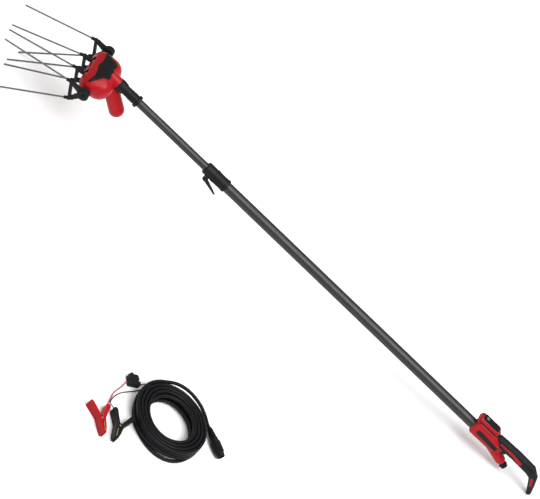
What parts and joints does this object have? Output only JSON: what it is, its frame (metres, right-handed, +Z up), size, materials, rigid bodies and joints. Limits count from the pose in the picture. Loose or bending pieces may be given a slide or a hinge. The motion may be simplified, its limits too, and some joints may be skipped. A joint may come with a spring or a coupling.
{
  "type": "electric olive harvester",
  "caption": "Pole-mounted electric olive harvester: oscillating tined combs on a geared head, telescopic pole with flip clamp, trigger handle, and a coiled battery lead with clips.",
  "frame": {"origin": "on the floor under the middle of the harvester's own length and width, the battery lead left out", "axes": "+X along the pole to the head, +Y to the side where the lead lies, +Z up"},
  "size_m": [2.1362, 1.1226, 0.2562],
  "materials": {
    "red_plastic": "satin red",
    "black_plastic": "fine grain black",
    "black_gloss": "gloss black",
    "soft_grip": "soft matt black",
    "pole_paint": "satin dark grey",
    "tine_rod": "dark grey rod",
    "steel": "turned steel",
    "aluminium": "cast aluminium",
    "brass": "plain brass",
    "cable_sheath": "smooth black sheath",
    "red_wire": "smooth red sheath",
    "fuse_body": "tinted blue",
    "button_grey": "grey key"
  },
  "bodies": {
    "handle": {"outer_tube": "pole_paint", "guide_bush": "black_plastic", "clamp_collar": "black_plastic", "clamp_pin": "steel", "handle_shell_left": "red_plastic", "handle_shell_right": "red_plastic", "grip_left": "soft_grip", "grip_right": "soft_grip", "grip_inlays": "red_plastic", "hood_seal": "soft_grip", "control_panel": "black_gloss", "side_strips": "soft_grip", "trigger_pin": "steel", "trigger_switch": "black_plastic", "inlet_socket": "black_plastic", "inlet_contacts": "brass", "lead_cable": "cable_sheath", "split_boot": "cable_sheath", "red_wire_feed": "red_wire", "red_wire_clip": "red_wire", "black_wire": "cable_sheath", "fuse_base": "black_plastic", "fuse": "fuse_body", "plug_boot": "cable_sheath", "plug_body": "black_plastic", "red_clip_fixed": "red_plastic", "black_clip_fixed": "black_plastic", "clip_pins": "steel", "clip_contacts": "brass"},
    "mast": {"inner_tube": "pole_paint", "tube_foot": "black_plastic", "head_sleeve": "black_plastic", "head_shell_left": "red_plastic", "head_shell_right": "red_plastic", "top_plate": "black_plastic", "motor_can": "steel", "motor_plate": "aluminium", "gear_plate": "aluminium", "crank_bearings": "steel", "shaft_bearings": "steel"},
    "rotor": {"motor_shaft": "steel", "pinion": "brass"},
    "crank": {"crank_shaft": "steel", "drive_gear": "steel", "eccentric_roller": "steel"},
    "combs": {"comb_shaft": "steel", "rocker_lever": "aluminium", "outer_fork_left": "black_plastic", "outer_fork_right": "black_plastic", "inner_fork_left": "black_plastic", "inner_fork_right": "black_plastic", "outer_tines": "tine_rod", "inner_tines": "tine_rod"},
    "clamp_lever_body": {"clamp_lever": "black_plastic"},
    "trigger_body": {"trigger": "black_plastic"},
    "power_button_body": {"power_button": "button_grey"},
    "plug_nut_body": {"plug_nut": "black_plastic"},
    "fuse_cap_body": {"fuse_cap": "black_plastic"},
    "red_clip_moving_body": {"red_clip_moving": "red_plastic"},
    "black_clip_moving_body": {"black_clip_moving": "black_plastic"}
  },
  "joints": [
    {"name": "mast_slide", "type": "slide", "parent": "handle", "child": "mast", "axis": [0.9949, 0, 0.1013], "range_m": [-0.27, 0.6]},
    {"name": "comb_swing", "type": "hinge", "parent": "mast", "child": "combs", "pos_m": [0.78666, 0, 0.20851], "axis": [0, 1, 0], "range_deg": [-10, 10]},
    {"name": "motor_spin", "type": "hinge", "parent": "mast", "child": "rotor", "pos_m": [0.76266, 0, 0.23534], "axis": [-0.7453, 0, -0.6667], "range_deg": [-450, 450]},
    {"name": "crank_spin", "type": "hinge", "parent": "mast", "child": "crank", "pos_m": [0.78666, 0, 0.20851], "axis": [-0.7453, 0, -0.6667], "range_deg": [-90, 90]},
    {"name": "lever_flip", "type": "hinge", "parent": "handle", "child": "clamp_lever_body", "pos_m": [0.33186, 0.01735, 0.17358], "axis": [0.0651, -0.766, -0.6395], "range_deg": [0, 95]},
    {"name": "trigger_pull", "type": "hinge", "parent": "handle", "child": "trigger_body", "pos_m": [-0.8962, 0, 0.07237], "axis": [0, 1, 0], "range_deg": [0, 10], "stiffness_Nm_per_rad": 0.6, "springref_deg": -8.59},
    {"name": "power_press", "type": "slide", "parent": "handle", "child": "power_button_body", "axis": [0.1013, 0, -0.9949], "range_m": [0, 0.0015], "stiffness_N_per_m": 800, "springref_m": -0.0015},
    {"name": "nut_turn", "type": "hinge", "parent": "handle", "child": "plug_nut_body", "pos_m": [-0.13024, 0.72956, 0.0155], "axis": [-0.7547, 0.6561, 0], "continuous": true},
    {"name": "fuse_cap_pull", "type": "slide", "parent": "handle", "child": "fuse_cap_body", "axis": [0.5736, -0.8192, 0], "range_m": [0, 0.03]},
    {"name": "red_clip_open", "type": "hinge", "parent": "handle", "child": "red_clip_moving_body", "pos_m": [0.21337, 0.9528, 0.012], "axis": [0, 0, -1], "range_deg": [0, 28], "stiffness_Nm_per_rad": 1.5, "springref_deg": -17.19},
    {"name": "black_clip_open", "type": "hinge", "parent": "handle", "child": "black_clip_moving_body", "pos_m": [0.15504, 0.9315, 0.012], "axis": [0, 0, 1], "range_deg": [0, 28], "stiffness_Nm_per_rad": 1.5, "springref_deg": -17.19}
  ],
  "couplings": [
    {"joint": "motor_spin", "follows": "comb_swing", "ratio": 45},
    {"joint": "crank_spin", "follows": "comb_swing", "ratio": -9}
  ]
}
